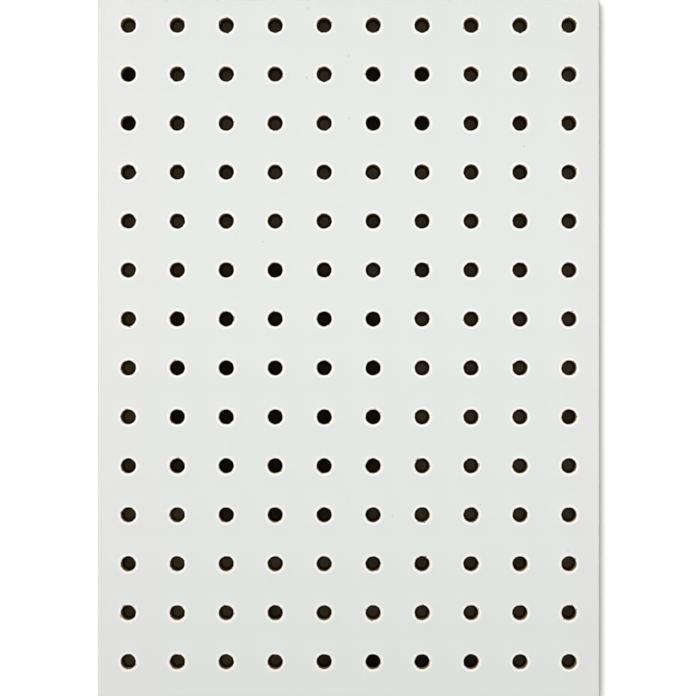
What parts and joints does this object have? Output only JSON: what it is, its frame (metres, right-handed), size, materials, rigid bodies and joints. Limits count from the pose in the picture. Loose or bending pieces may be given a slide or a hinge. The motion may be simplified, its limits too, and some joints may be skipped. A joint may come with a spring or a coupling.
{
  "type": "perforated fibreboard panel",
  "caption": "Flat sheet of fibreboard, white on its front face, drilled right through on a square grid so that hooks, pegs or screws can be put in its holes.",
  "frame": {"origin": "middle of the panel's back face, on the surface that it lies on", "axes": "+Z out of the white front face, +Y up the panel to the top edge of the picture, +X to the picture's right"},
  "size_m": [0.256, 0.356, 0.006],
  "materials": {
    "painted_fibreboard": "matte"
  },
  "bodies": {
    "root": {"perforated_panel": "painted_fibreboard"}
  },
  "joints": []
}
